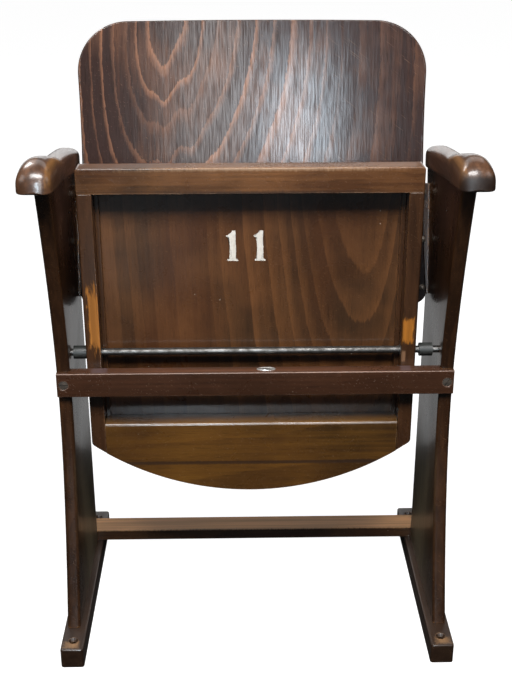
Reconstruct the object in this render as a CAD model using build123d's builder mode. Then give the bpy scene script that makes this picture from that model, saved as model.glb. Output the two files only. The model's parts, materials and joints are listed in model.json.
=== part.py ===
from build123d import *
from math import asin, cos, degrees, radians, sin, sqrt, tan
import os

# Tip-up auditorium seat in stained and varnished beech.
# Two side panels stand on two long feet.  A crossbar in front and a stretcher behind tie
# them together, a bent plywood back leans between them, and a framed plywood seat tips on a
# steel rod.  The crossbar stops the seat at both ends of its travel.
#
# The origin is on the floor, in the middle of the four floor screws.  +X is the sitter's
# left, +Y runs towards the back of the chair and +Z is up.  All sizes are in millimetres.
# A "setback" is a distance behind the front ends of the feet.

# ---- frame -----------------------------------------------------------------------------------
frame_width = 545.0  # over the outer faces of the two side panels
panel_thickness = 18.7
panel_edge_radius = 4.5

foot_length = 367.0
foot_width = 32.4
foot_height = 30.0
foot_reach_outside = 4.2  # how far a foot stands out past its side panel
foot_corner_radius = 4.0
foot_edge_radius = 2.5
floor_hole_inset = 21.0  # from each end of a foot to its floor screw hole
floor_hole_diameter = 7.0
floor_head_diameter = 14.0

# the waisted front edge of a side panel, as setback and height
leg_setback = 49.5
calf_setback = 100.5
calf_height = 195.0
waist_setback = 121.5
waist_height = 352.0
chest_setback = 105.0
chest_height = 500.0
arm_setback = 58.5
rear_setback = 277.5  # the upright part of a panel's rear edge
rear_bend_height = 470.0  # from here up the rear edge leans back like the backrest

# ---- crossbar and stretcher ------------------------------------------------------------------
crossbar_setback = 114.0
crossbar_depth = 20.0
crossbar_top = 402.0
crossbar_height = 35.0
crossbar_edge_radius = 1.5
stretcher_depth = 38.0
stretcher_thickness = 18.0
stretcher_edge_radius = 1.5

# ---- armrests --------------------------------------------------------------------------------
arm_pitch = 8.4  # degrees, down towards the back
arm_front_setback = 30.0
arm_front_height = 677.0  # underside of the armrest at its front end
arm_length = 291.0
arm_centre = 268.0  # from the middle of the chair
arm_front_width = 44.5
arm_waist_width = 36.5
arm_rear_width = 43.0
arm_front_lobe = 41.5  # thickness of the front lobe
arm_front_lobe_place = 48.0  # from the front end
arm_saddle = 32.5  # thickness where the forearm lies
arm_saddle_share = 0.515  # of the armrest's length, from its front end
arm_rear_lobe = 33.0
arm_rear_lobe_inset = 53.0  # from the rear end
arm_nose_foot = 10.0  # height at the front end where the nose begins to curve back
arm_nose_reach = 18.0  # how far back the steep part of the nose runs
arm_tail_foot = 8.0
arm_tail_reach = 14.0
arm_bulge = 0.62  # fullness of nose and tail
arm_side_radius = 15.0  # along the top edges and the upright corners
arm_bottom_radius = 3.5

# ---- backrest --------------------------------------------------------------------------------
recline = 15.0  # degrees
back_setback = 243.0  # lower front corners of the backrest
back_foot_height = 450.0
back_length = 400.0
back_thickness = 10.0
back_radius = 900.0  # bend of the front face
back_foot_width = 503.4
back_waist_width = 487.4  # where it passes between the armrests
back_waist_place = 215.0
back_top_width = 500.0
back_crown = 7.0  # rise of the top edge over its corners
back_top_radius = 72.0
back_foot_radius = 18.0
back_edge_radius = 3.0

batten_width = 22.0
batten_rear_face = 30.0  # behind the chord of the backrest's front face
batten_start = 14.0  # above the backrest's lower edge
batten_length = 160.0

# ---- seat ------------------------------------------------------------------------------------
seat_width = 452.5
seat_shift = -5.75  # the seat has slid this far along its rod
seat_top = 682.0  # front edge of the seat, which is uppermost while it is tipped up
seat_tail = 206.0  # lowest point of the rounded rear edge
seat_tail_radius = 375.0
seat_frame_depth = 30.0
front_rail_height = 34.5
stile_width = 20.0
rear_rail_top = 315.0
seat_panel_thickness = 8.5
seat_nose_radius = 14.0  # rounds the front edge over plywood and rail, where the legs bend
seat_tail_corner_radius = 8.0
seat_front_corner_radius = 5.0
seat_edge_radius = 2.0
rail_nose_radius = 5.0
cleat_size = 6.0

# ---- pivot -----------------------------------------------------------------------------------
rod_height = 418.4
rod_diameter = 10.0
rod_to_stile_face = 17.5  # from the rod's centre to the underside of the seat frame
rod_socket_depth = 12.0  # in each side panel
bush_wall = 2.5
sleeve_diameter = 18.6
sleeve_length = 18.0
left_sleeve_place = -242.0  # middle of each loose sleeve along the rod
right_sleeve_place = 236.5

# ---- fasteners and dowels --------------------------------------------------------------------
screw_diameter = 5.0
screw_head_diameter = 10.0
small_screw_diameter = 3.5
small_screw_head_diameter = 7.0
crossbar_screw_head = 13.0
crossbar_screw_setin = 0.8  # how far the heads lie below the crossbar's front face
dowel_diameter = 8.0
dowel_length = 36.0
arm_dowel_diameter = 10.0
arm_dowel_length = 40.0
back_screw_head_diameter = 9.0
back_screw_head_height = 2.5
back_screw_length = 20.0
back_screw_x = 244.0  # from the middle of the chair
back_screw_steps = (10.0, 80.0, 148.0)  # up from the lower ends of the battens

crossbar_screw_bite = 22.0  # how deep a screw goes into the second piece
batten_screw_bite = 12.0
seat_screw_bite = 15.0
foot_screw_length = 62.0
foot_screw_setin = 8.0  # depth of the pockets under the feet
foot_screw_front_inset = 50.0  # from the lower front corner of a side panel
foot_screw_rear_inset = 45.0
stretcher_screw_length = 34.0
stretcher_screw_spread = 18.0
arm_dowel_distances = (62.0, 215.0)  # along the armrest from its front end
batten_screw_inset = 7.0  # from a batten's rear face
batten_screw_steps = (42.0, 118.0)
stile_dowel_spread = 14.0
rail_dowel_drop = 11.0  # below the top of the seat's rear rail
rail_dowel_spread = 20.0
seat_screw_step = 150.0
seat_screw_above_rail = 35.0
seat_screw_above_rod = 62.0
seat_screw_below_rail = 48.0

# ---- clearances ------------------------------------------------------------------------------
running = 0.05  # radial, rod in its bushes and sockets
snug = 0.03  # radial, dowels and screws in their holes
stop_gap = 0.3  # between the seat and the crossbar that stops it

# ---- places that follow from the sizes above -------------------------------------------------
sides = {"left": -1, "right": 1}  # as the chair is seen from the front
front = -foot_length / 2
panel_outer = frame_width / 2
panel_inner = panel_outer - panel_thickness
panel_middle = panel_outer - panel_thickness / 2
foot_middle = panel_outer + foot_reach_outside - foot_width / 2
floor_hole_y = foot_length / 2 - floor_hole_inset

crossbar_front = front + crossbar_setback
crossbar_rear = crossbar_front + crossbar_depth
crossbar_bottom = crossbar_top - crossbar_height
crossbar_middle = crossbar_top - crossbar_height / 2
stretcher_front = front + rear_setback
stretcher_top = foot_height + stretcher_thickness

stile_front = crossbar_rear + stop_gap
rod_y = stile_front + rod_to_stile_face
seat_panel_front = stile_front + seat_frame_depth
seat_panel_rear = seat_panel_front + seat_panel_thickness
front_rail_bottom = seat_top - front_rail_height
seat_nose_bottom = seat_top - seat_nose_radius
seat_half = seat_width / 2
stile_inner = seat_half - stile_width
stile_middle = seat_half - stile_width / 2
cleat_middle = stile_inner - cleat_size / 2
seat_tail_centre = seat_tail + seat_tail_radius

batten_middle = panel_inner - batten_width / 2
bush_radius = rod_diameter / 2 + bush_wall

arm_slope = tan(radians(arm_pitch))
arm_saddle_place = arm_length * arm_saddle_share
arm_rear_lobe_place = arm_length - arm_rear_lobe_inset


def arm_underside(setback):
    """Height of the sloping underside of the armrests at a setback."""
    return arm_front_height - (setback - arm_front_setback) * arm_slope


arm_rear_setback = arm_front_setback + arm_length * cos(radians(arm_pitch))
recline_slope = tan(radians(recline))
rear_top_setback = rear_setback + (arm_underside(arm_rear_setback) - rear_bend_height) * recline_slope

# the armrest's own plane lies on its underside, with y running back along it
arm_plane = Plane(
    origin=(0, front + arm_front_setback, arm_front_height),
    x_dir=(1, 0, 0),
    z_dir=(0, sin(radians(arm_pitch)), cos(radians(arm_pitch))),
)

# the backrest's section plane: z runs up the backrest, y out of its back
back_section = Plane(
    origin=(0, front + back_setback, back_foot_height),
    x_dir=(1, 0, 0),
    z_dir=(0, sin(radians(recline)), cos(radians(recline))),
)
back_outline = Plane(
    origin=back_section.origin,
    x_dir=(1, 0, 0),
    z_dir=(0, -cos(radians(recline)), sin(radians(recline))),
)
back_sag = back_radius - sqrt(back_radius**2 - (back_foot_width / 2) ** 2)
back_bend_centre = back_sag - back_radius


# ---- fasteners -------------------------------------------------------------------------------
def countersunk_screw(length, diameter, head_diameter, grow=0.0):
    """A screw that points down from the origin.  grow makes the hole that it sits in."""
    shank = diameter / 2 + grow
    head = head_diameter / 2 + grow
    with BuildPart() as screw:
        with BuildSketch(Plane.XZ):
            with BuildLine():
                Polyline((0, 0), (head, 0), (shank, shank - head), (shank, -length), (0, -length), close=True)
            make_face()
        revolve(axis=Axis.Z)
    return screw.part


def round_head_screw(length, diameter, head_diameter, head_height, grow=0.0):
    """A screw that points down from the origin, with a domed head above it."""
    shank = diameter / 2 + grow
    head = head_diameter / 2
    with BuildPart() as screw:
        with BuildSketch(Plane.XZ):
            with BuildLine():
                Polyline((0, head_height), (0, -length), (shank, -length), (shank, 0), (head, 0))
                RadiusArc((head, 0), (0, head_height), -(head**2 + head_height**2) / (2 * head_height))
            make_face()
        revolve(axis=Axis.Z)
    return screw.part


def dowel(diameter, length, grow=0.0):
    """A dowel that stands on both sides of the joint at the origin, along Z."""
    with BuildPart() as pin:
        Cylinder(diameter / 2 + grow, length + 2 * grow)
        if grow == 0:
            chamfer(pin.edges().filter_by(GeomType.CIRCLE), diameter / 8)
    return pin.part


down = (0, 0, 0)
up = (180, 0, 0)
backwards = (90, 0, 0)
forwards = (-90, 0, 0)
sideways = (0, 90, 0)

# screws through the ends of the crossbar into the side panels
crossbar_screw_length = crossbar_depth + crossbar_screw_bite
crossbar_screw_places = [
    Location((side * panel_middle, crossbar_front + crossbar_screw_setin, crossbar_middle), backwards)
    for side in sides.values()
]

# two screws up through each foot into the end grain of its side panel
foot_screw_setbacks = (leg_setback + foot_screw_front_inset, rear_setback - foot_screw_rear_inset)
foot_screw_places = [
    Location((side * panel_middle, front + setback, foot_screw_setin), up)
    for side in sides.values()
    for setback in foot_screw_setbacks
]

# two screws down through each end of the stretcher into the foot
stretcher_screw_places = [
    Location((side * panel_middle, stretcher_front + stretcher_depth / 2 + step, stretcher_top), down)
    for side in sides.values()
    for step in (-stretcher_screw_spread / 2, stretcher_screw_spread / 2)
]

# dowels between each side panel and its armrest, square to the armrest's underside
arm_dowel_places = [
    arm_plane.location * Location((side * panel_middle, distance, 0))
    for side in sides.values()
    for distance in arm_dowel_distances
]

# screws through the battens into the side panels
batten_screw_length = batten_width + batten_screw_bite
batten_screw_y = batten_rear_face - batten_screw_inset
batten_screw_places = [
    back_section.location
    * Location((side * (panel_inner - batten_width), batten_screw_y, batten_start + step), (0, -side * 90, 0))
    for side in sides.values()
    for step in batten_screw_steps
]

# round-headed screws through the backrest into the battens, square to its bent face
back_screw_angle = degrees(asin(back_screw_x / back_radius))
back_screw_places = [
    back_section.location
    * Location((0, back_bend_centre, batten_start + step))
    * Location((0, 0, 0), (0, 0, -side * back_screw_angle))
    * Location((0, back_radius, 0), backwards)
    for side in sides.values()
    for step in back_screw_steps
]

# dowels in the four corners of the seat frame
frame_middle = stile_front + seat_frame_depth / 2
seat_dowel_places = [
    Location((seat_shift + side * stile_middle, frame_middle + step, front_rail_bottom))
    for side in sides.values()
    for step in (-stile_dowel_spread / 2, stile_dowel_spread / 2)
] + [
    Location((seat_shift + side * stile_inner, frame_middle, rear_rail_top - drop), sideways)
    for side in sides.values()
    for drop in (rail_dowel_drop, rail_dowel_drop + rail_dowel_spread)
]

# screws through the plywood into the seat frame
seat_screw_length = seat_panel_thickness + seat_screw_bite
stile_screw_heights = (
    rear_rail_top + seat_screw_above_rail,
    rod_height + seat_screw_above_rod,
    front_rail_bottom - seat_screw_below_rail,
)
rail_screw_heights = (rear_rail_top - seat_screw_below_rail, (front_rail_bottom + seat_nose_bottom) / 2)
seat_screw_places = [
    Location((seat_shift + side * stile_middle, seat_panel_rear, height), forwards)
    for side in sides.values()
    for height in stile_screw_heights
] + [
    Location((seat_shift + x, seat_panel_rear, height), forwards)
    for x in (-seat_screw_step, 0, seat_screw_step)
    for height in rail_screw_heights
]

screw_hole = dict(diameter=screw_diameter, head_diameter=screw_head_diameter, grow=snug)
small_screw_hole = dict(diameter=small_screw_diameter, head_diameter=small_screw_head_diameter, grow=snug)
crossbar_screw_hole = countersunk_screw(crossbar_screw_length, screw_diameter, crossbar_screw_head, snug)
foot_screw_hole = countersunk_screw(foot_screw_length, **screw_hole)
stretcher_screw_hole = countersunk_screw(stretcher_screw_length, **screw_hole)
batten_screw_hole = countersunk_screw(batten_screw_length, **small_screw_hole)
seat_screw_hole = countersunk_screw(seat_screw_length, **small_screw_hole)
back_screw_hole = round_head_screw(
    back_screw_length, small_screw_diameter, back_screw_head_diameter, back_screw_head_height, snug
)
arm_dowel_hole = dowel(arm_dowel_diameter, arm_dowel_length, snug)
seat_dowel_hole = dowel(dowel_diameter, dowel_length, snug)

os.makedirs("parts", exist_ok=True)


def save(name, piece):
    """Label a finished piece with its name and write it to its own file."""
    piece.part.label = name
    export_step(piece.part, f"parts/{name}.step")


def fasten(name, blank, places):
    """One named group of identical fasteners, a separate solid at each place."""
    with BuildPart() as group:
        with Locations(*places):
            add(blank)
    save(name, group)


# ---- feet ------------------------------------------------------------------------------------
for name, side in sides.items():
    with BuildPart() as foot:
        with BuildSketch():
            with Locations((side * foot_middle, 0)):
                RectangleRounded(foot_width, foot_length, foot_corner_radius)
        extrude(amount=foot_height)
        fillet(foot.faces().sort_by(Axis.Z)[-1].edges(), foot_edge_radius)
        with Locations(
            (side * foot_middle, floor_hole_y, foot_height),
            (side * foot_middle, -floor_hole_y, foot_height),
        ):
            CounterSinkHole(floor_hole_diameter / 2, floor_head_diameter / 2)
        with Locations(*[place for place in foot_screw_places if place.position.X * side > 0]):
            Cylinder(
                screw_head_diameter / 2 + snug,
                foot_screw_setin,
                align=(Align.CENTER, Align.CENTER, Align.MIN),
                mode=Mode.SUBTRACT,
            )
        with Locations(*foot_screw_places):
            add(foot_screw_hole, mode=Mode.SUBTRACT)
        with Locations(*stretcher_screw_places):
            add(stretcher_screw_hole, mode=Mode.SUBTRACT)
    save(f"{name}_foot", foot)

# ---- side panels -----------------------------------------------------------------------------
for name, side in sides.items():
    with BuildPart() as panel:
        with BuildSketch(Plane.YZ.offset(side * panel_middle)):
            with BuildLine():
                front_edge = Spline(
                    (front + leg_setback, foot_height),
                    (front + calf_setback, calf_height),
                    (front + waist_setback, waist_height),
                    (front + chest_setback, chest_height),
                    (front + arm_setback, arm_underside(arm_setback)),
                )
                top_edge = Line(front_edge @ 1, (front + rear_top_setback, arm_underside(rear_top_setback)))
                rear_lean = Line(top_edge @ 1, (front + rear_setback, rear_bend_height))
                rear_edge = Line(rear_lean @ 1, (front + rear_setback, foot_height))
                Line(rear_edge @ 1, front_edge @ 0)
            make_face()
        extrude(amount=panel_thickness / 2, both=True)
        fillet(panel.edges().filter_by(GeomType.BSPLINE), panel_edge_radius)
        with BuildSketch(Plane.YZ.offset(side * panel_middle)):
            with Locations((crossbar_rear, crossbar_middle)):
                Rectangle(crossbar_depth * 2, crossbar_height, align=(Align.MAX, Align.CENTER))
        extrude(amount=panel_thickness, both=True, mode=Mode.SUBTRACT)
        with Locations(Location((side * panel_inner, rod_y, rod_height), (0, side * 90, 0))):
            Cylinder(
                rod_diameter / 2 + running,
                rod_socket_depth,
                align=(Align.CENTER, Align.CENTER, Align.MIN),
                mode=Mode.SUBTRACT,
            )
        with Locations(*foot_screw_places):
            add(foot_screw_hole, mode=Mode.SUBTRACT)
        with Locations(*crossbar_screw_places):
            add(crossbar_screw_hole, mode=Mode.SUBTRACT)
        with Locations(*batten_screw_places):
            add(batten_screw_hole, mode=Mode.SUBTRACT)
        with Locations(*arm_dowel_places):
            add(arm_dowel_hole, mode=Mode.SUBTRACT)
    save(f"{name}_side_panel", panel)

# ---- front crossbar, let into notches in the panels ------------------------------------------
with BuildPart() as front_crossbar:
    with BuildSketch(Plane.YZ):
        with Locations((crossbar_rear, crossbar_middle)):
            Rectangle(crossbar_depth, crossbar_height, align=(Align.MAX, Align.CENTER))
    extrude(amount=frame_width / 2, both=True)
    fillet(front_crossbar.faces().sort_by(Axis.Y)[0].edges(), crossbar_edge_radius)
    fillet(front_crossbar.edges().filter_by(Axis.X).group_by(Axis.Y)[-1], crossbar_edge_radius)
    with Locations(*crossbar_screw_places):
        Cylinder(
            crossbar_screw_head / 2 + snug,
            crossbar_screw_setin,
            align=(Align.CENTER, Align.CENTER, Align.MIN),
            mode=Mode.SUBTRACT,
        )
        add(crossbar_screw_hole, mode=Mode.SUBTRACT)
save("front_crossbar", front_crossbar)

# ---- rear stretcher, lying on the feet behind the panels -------------------------------------
with BuildPart() as rear_stretcher:
    with BuildSketch(Plane.YZ):
        with Locations((stretcher_front, foot_height)):
            Rectangle(stretcher_depth, stretcher_thickness, align=(Align.MIN, Align.MIN))
    extrude(amount=frame_width / 2, both=True)
    fillet(rear_stretcher.faces().sort_by(Axis.Z)[-1].edges(), stretcher_edge_radius)
    with Locations(*stretcher_screw_places):
        add(stretcher_screw_hole, mode=Mode.SUBTRACT)
save("rear_stretcher", rear_stretcher)

# ---- armrests, carved from one block each ----------------------------------------------------
arm_side_plane = Plane(arm_plane.origin, x_dir=arm_plane.y_dir, z_dir=(1, 0, 0))
arm_normal = Axis(arm_plane.origin, arm_plane.z_dir)
arm_widths = [
    (0, arm_front_width),
    (arm_front_lobe_place, arm_front_width),
    (arm_saddle_place, arm_waist_width),
    (arm_rear_lobe_place, arm_rear_width),
    (arm_length, arm_rear_width),
]
for name, side in sides.items():
    middle = side * arm_centre
    with BuildPart() as armrest:
        with BuildSketch(arm_plane):
            with BuildLine():
                inner = Spline([(middle - width / 2, along) for along, width in arm_widths])
                outer = Spline([(middle + width / 2, along) for along, width in arm_widths])
                Line(inner @ 0, outer @ 0)
                Line(inner @ 1, outer @ 1)
            make_face()
        extrude(amount=arm_front_lobe * 2)
        with BuildSketch(arm_side_plane):
            with BuildLine():
                nose = Bezier(
                    (0, arm_nose_foot),
                    (0, arm_nose_foot + (arm_front_lobe - arm_nose_foot) * arm_bulge),
                    (arm_nose_reach, arm_front_lobe),
                    (arm_front_lobe_place, arm_front_lobe),
                )
                saddle = Spline(
                    nose @ 1,
                    (arm_saddle_place, arm_saddle),
                    (arm_rear_lobe_place, arm_rear_lobe),
                    tangents=((1, 0), (1, 0)),
                )
                tail = Bezier(
                    saddle @ 1,
                    (arm_length - arm_tail_reach, arm_rear_lobe),
                    (arm_length, arm_tail_foot + (arm_rear_lobe - arm_tail_foot) * arm_bulge),
                    (arm_length, arm_tail_foot),
                )
                Polyline(tail @ 1, (arm_length, 0), (0, 0), nose @ 0)
            make_face()
        extrude(amount=frame_width, both=True, mode=Mode.INTERSECT)
        underside = armrest.faces().sort_by(arm_normal)[0]
        across = armrest.edges().filter_by(Axis.X)
        fillet(armrest.edges() - underside.edges() - across, arm_side_radius)
        fillet(armrest.faces().sort_by(arm_normal)[0].edges(), arm_bottom_radius)
        with Locations(*arm_dowel_places):
            add(arm_dowel_hole, mode=Mode.SUBTRACT)
    save(f"{name}_armrest", armrest)

# ---- backrest: a bent plywood shell with a waist between the armrests ------------------------
with BuildPart() as backrest_shell:
    with BuildSketch(back_section):
        with Locations((0, back_bend_centre)):
            Circle(back_radius + back_thickness)
            Circle(back_radius, mode=Mode.SUBTRACT)
        with Locations((0, back_sag)):
            Rectangle(back_foot_width, back_sag * 4, mode=Mode.INTERSECT)
    extrude(amount=back_length + back_crown)
    with BuildSketch(back_outline) as outline:
        with BuildLine():
            right = ThreePointArc(
                (back_foot_width / 2, 0),
                (back_waist_width / 2, back_waist_place),
                (back_top_width / 2, back_length),
            )
            crown = ThreePointArc(
                right @ 1,
                (0, back_length + back_crown),
                (-back_top_width / 2, back_length),
            )
            left = ThreePointArc(
                crown @ 1,
                (-back_waist_width / 2, back_waist_place),
                (-back_foot_width / 2, 0),
            )
            Line(left @ 1, right @ 0)
        make_face()
        fillet(outline.vertices().sort_by(Axis.Y)[2:], back_top_radius)
        fillet(outline.vertices().sort_by(Axis.Y)[:2], back_foot_radius)
    extrude(amount=back_sag * 4, both=True, mode=Mode.INTERSECT)
    rims = [face.edges() for face in backrest_shell.faces().sort_by(SortBy.AREA)[-2:]]
    fillet(rims[0] + rims[1], back_edge_radius)
    with Locations(*back_screw_places):
        add(back_screw_hole, mode=Mode.SUBTRACT)
save("backrest_shell", backrest_shell)

# ---- battens that hold the backrest to the side panels ---------------------------------------
for name, side in sides.items():
    with BuildPart() as batten:
        with BuildSketch(back_section.offset(batten_start)):
            with Locations((side * batten_middle, batten_rear_face / 2)):
                Rectangle(batten_width, batten_rear_face)
            with Locations((0, back_bend_centre)):
                Circle(back_radius + back_thickness, mode=Mode.SUBTRACT)
        extrude(amount=batten_length)
        with Locations(*batten_screw_places):
            add(batten_screw_hole, mode=Mode.SUBTRACT)
        with Locations(*back_screw_places):
            add(back_screw_hole, mode=Mode.SUBTRACT)
    save(f"{name}_back_batten", batten)

# ---- fasteners of the frame ------------------------------------------------------------------
crossbar_screw = countersunk_screw(crossbar_screw_length, screw_diameter, crossbar_screw_head)
foot_screw = countersunk_screw(foot_screw_length, screw_diameter, screw_head_diameter)
stretcher_screw = countersunk_screw(stretcher_screw_length, screw_diameter, screw_head_diameter)
batten_screw = countersunk_screw(batten_screw_length, small_screw_diameter, small_screw_head_diameter)
back_screw = round_head_screw(
    back_screw_length, small_screw_diameter, back_screw_head_diameter, back_screw_head_height
)
fasten("crossbar_screws", crossbar_screw, crossbar_screw_places)
fasten("foot_screws", foot_screw, foot_screw_places)
fasten("stretcher_screws", stretcher_screw, stretcher_screw_places)
fasten("batten_screws", batten_screw, batten_screw_places)
fasten("back_screws", back_screw, back_screw_places)
fasten("armrest_dowels", dowel(arm_dowel_diameter, arm_dowel_length), arm_dowel_places)

# ---- pivot rod and the two loose sleeves that space the seat from the panels -----------------
rod_end = panel_inner + rod_socket_depth - snug
with BuildPart() as pivot_rod:
    with Locations(Location((0, rod_y, rod_height), sideways)):
        Cylinder(rod_diameter / 2, rod_end * 2)
    chamfer(pivot_rod.edges().filter_by(GeomType.CIRCLE), rod_diameter / 10)
save("pivot_rod", pivot_rod)

for name, place in {"left": left_sleeve_place, "right": right_sleeve_place}.items():
    with BuildPart() as sleeve:
        with Locations(Location((place, rod_y, rod_height), sideways)):
            Cylinder(sleeve_diameter / 2, sleeve_length)
            Cylinder(rod_diameter / 2 + running, sleeve_length, mode=Mode.SUBTRACT)
    save(f"{name}_pivot_sleeve", sleeve)

# ---- seat frame ------------------------------------------------------------------------------
# the whole seat: square on it has straight sides and a rounded tail, from the side a rounded nose
with BuildPart() as seat_block:
    with BuildSketch(Plane.XZ.offset(-stile_front)) as seat_outline:
        with Locations((seat_shift, seat_tail_centre)):
            Circle(seat_tail_radius)
        with Locations((seat_shift, seat_top)):
            Rectangle(seat_width, seat_tail_radius * 2, align=(Align.CENTER, Align.MAX), mode=Mode.INTERSECT)
        fillet(seat_outline.vertices().sort_by(Axis.Y)[:2], seat_tail_corner_radius)
        fillet(seat_outline.vertices().sort_by(Axis.Y)[-2:], seat_front_corner_radius)
    extrude(amount=-(seat_frame_depth + seat_panel_thickness))
    with BuildSketch(Plane.YZ) as seat_profile:
        with Locations((seat_panel_rear, seat_top)):
            Rectangle(seat_frame_depth + seat_panel_thickness, seat_top, align=(Align.MAX, Align.MAX))
        fillet(seat_profile.vertices().sort_by(Axis.X)[-2:].sort_by(Axis.Y)[-1], seat_nose_radius)
    extrude(amount=seat_width, both=True, mode=Mode.INTERSECT)

with BuildPart() as seat_front_rail:
    with BuildSketch(Plane.XZ.offset(-stile_front)):
        with Locations((seat_shift, seat_top)):
            Rectangle(seat_width, front_rail_height, align=(Align.CENTER, Align.MAX))
    extrude(amount=-seat_frame_depth)
    add(seat_block.part, mode=Mode.INTERSECT)
    front_rim = seat_front_rail.faces().sort_by(Axis.Y)[0].edges().sort_by(Axis.Z)
    fillet(front_rim[1:], seat_edge_radius)
    with Locations(*seat_dowel_places):
        add(seat_dowel_hole, mode=Mode.SUBTRACT)
    with Locations(*seat_screw_places):
        add(seat_screw_hole, mode=Mode.SUBTRACT)
save("seat_front_rail", seat_front_rail)

for name, side in sides.items():
    with BuildPart() as stile:
        with BuildSketch(Plane.XZ.offset(-stile_front)):
            with Locations((seat_shift + side * stile_middle, front_rail_bottom)):
                Rectangle(stile_width, front_rail_bottom - seat_tail, align=(Align.CENTER, Align.MAX))
        extrude(amount=-seat_frame_depth)
        add(seat_block.part, mode=Mode.INTERSECT)
        outer_face = stile.faces().sort_by(Axis.X)[0 if side < 0 else -1]
        fillet(outer_face.edges().sort_by(Axis.Y)[0], seat_edge_radius)
        with Locations(Location((seat_shift + side * stile_middle, rod_y, rod_height), sideways)):
            Cylinder(bush_radius + snug, stile_width, mode=Mode.SUBTRACT)
        with Locations(*seat_dowel_places):
            add(seat_dowel_hole, mode=Mode.SUBTRACT)
        with Locations(*seat_screw_places):
            add(seat_screw_hole, mode=Mode.SUBTRACT)
    save(f"{name}_seat_stile", stile)

    with BuildPart() as bush:
        with Locations(Location((seat_shift + side * stile_middle, rod_y, rod_height), sideways)):
            Cylinder(bush_radius, stile_width)
            Cylinder(rod_diameter / 2 + running, stile_width, mode=Mode.SUBTRACT)
    save(f"{name}_pivot_bush", bush)

    with BuildPart() as cleat:
        with BuildSketch(Plane.XY.offset(rear_rail_top)):
            with Locations((seat_shift + side * cleat_middle, seat_panel_front - cleat_size / 2)):
                Rectangle(cleat_size, cleat_size)
        extrude(amount=front_rail_bottom - rear_rail_top)
    save(f"{name}_seat_cleat", cleat)

with BuildPart() as seat_rear_rail:
    with BuildSketch(Plane.XZ.offset(-stile_front)):
        with Locations((seat_shift, rear_rail_top)):
            Rectangle(stile_inner * 2, rear_rail_top - seat_tail, align=(Align.CENTER, Align.MAX))
    extrude(amount=-seat_frame_depth)
    add(seat_block.part, mode=Mode.INTERSECT)
    nose = seat_rear_rail.faces().sort_by(Axis.Y)[0].edges().sort_by(Axis.Z)[-1]
    fillet(nose, rail_nose_radius)
    with Locations(*seat_dowel_places):
        add(seat_dowel_hole, mode=Mode.SUBTRACT)
    with Locations(*seat_screw_places):
        add(seat_screw_hole, mode=Mode.SUBTRACT)
save("seat_rear_rail", seat_rear_rail)

# ---- plywood seat ----------------------------------------------------------------------------
with BuildPart() as seat_panel:
    add(seat_block.part)
    split(bisect_by=Plane.XZ.offset(-seat_panel_front), keep=Keep.BOTTOM)
    rear_rim = seat_panel.faces().sort_by(Axis.Y)[-1].edges().sort_by(Axis.Z)
    fillet(rear_rim[:-1], seat_edge_radius)
    with Locations(*seat_screw_places):
        add(seat_screw_hole, mode=Mode.SUBTRACT)
save("seat_panel", seat_panel)

# ---- fasteners of the seat -------------------------------------------------------------------
fasten("seat_dowels", dowel(dowel_diameter, dowel_length), seat_dowel_places)
seat_screw = countersunk_screw(seat_screw_length, small_screw_diameter, small_screw_head_diameter)
fasten("seat_screws", seat_screw, seat_screw_places)
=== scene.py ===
# %% [markdown]
# # An old auditorium seat in stained beech
#
# The chair stands alone: two boards on long feet, a bent plywood back, and a seat that tips up on a
# steel rod.  Its wood was stained dark brown and varnished, and decades of sitters have polished the
# armrests, rounded the edges and rubbed the stops down to bare orange beech.  This lesson dresses the
# chair's solids for the camera.  Boards are copied from the solids and get softened edges, the
# armrests are carved anew as numpy surfaces, and every finish is a procedural material.

# %% Load the solids
import json
from math import asin, cos, pi, radians, sin

import bmesh
import bpy
import numpy as np
from mathutils import Matrix, Vector


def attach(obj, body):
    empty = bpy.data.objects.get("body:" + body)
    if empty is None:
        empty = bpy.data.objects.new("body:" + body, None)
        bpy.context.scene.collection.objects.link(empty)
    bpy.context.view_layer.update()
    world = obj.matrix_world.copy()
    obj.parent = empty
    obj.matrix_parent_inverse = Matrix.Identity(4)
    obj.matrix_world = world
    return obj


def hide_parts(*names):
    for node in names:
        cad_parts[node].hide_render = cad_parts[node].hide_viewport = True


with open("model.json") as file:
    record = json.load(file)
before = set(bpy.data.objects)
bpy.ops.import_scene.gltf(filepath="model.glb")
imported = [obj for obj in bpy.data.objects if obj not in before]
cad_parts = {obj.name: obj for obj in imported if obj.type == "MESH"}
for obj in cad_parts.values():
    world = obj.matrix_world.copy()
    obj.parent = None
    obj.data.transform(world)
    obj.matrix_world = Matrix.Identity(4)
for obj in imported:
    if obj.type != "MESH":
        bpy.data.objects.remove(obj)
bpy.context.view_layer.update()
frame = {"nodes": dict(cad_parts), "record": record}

nodes = frame["nodes"]

# %% [markdown]
# ## Camera
#
# The photographer stood about a metre and a half away with the camera at eye height of a child,
# looking down at the seat.  The place and the tilt were found by matching corners of the chair whose
# places are known.  A camera looks along its own -Z, so the columns of its rotation are the view's
# right, its up, and backwards.

# %% Camera
camera_place = Vector((-0.0242865, -1.4804953, 1.0552158))
camera_yaw, camera_pitch, camera_roll = 0.0175, 0.4088, -0.0018
photo_focal_pixels, photo_height_pixels, sensor = 1140.0, 689.0, 36.0

forward = Vector((sin(camera_yaw) * cos(camera_pitch), cos(camera_yaw) * cos(camera_pitch), -sin(camera_pitch)))
level = Vector((cos(camera_yaw), -sin(camera_yaw), 0))
upward = level.cross(forward)
camera_right = level * cos(camera_roll) + upward * sin(camera_roll)
camera_up = upward * cos(camera_roll) - level * sin(camera_roll)

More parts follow.
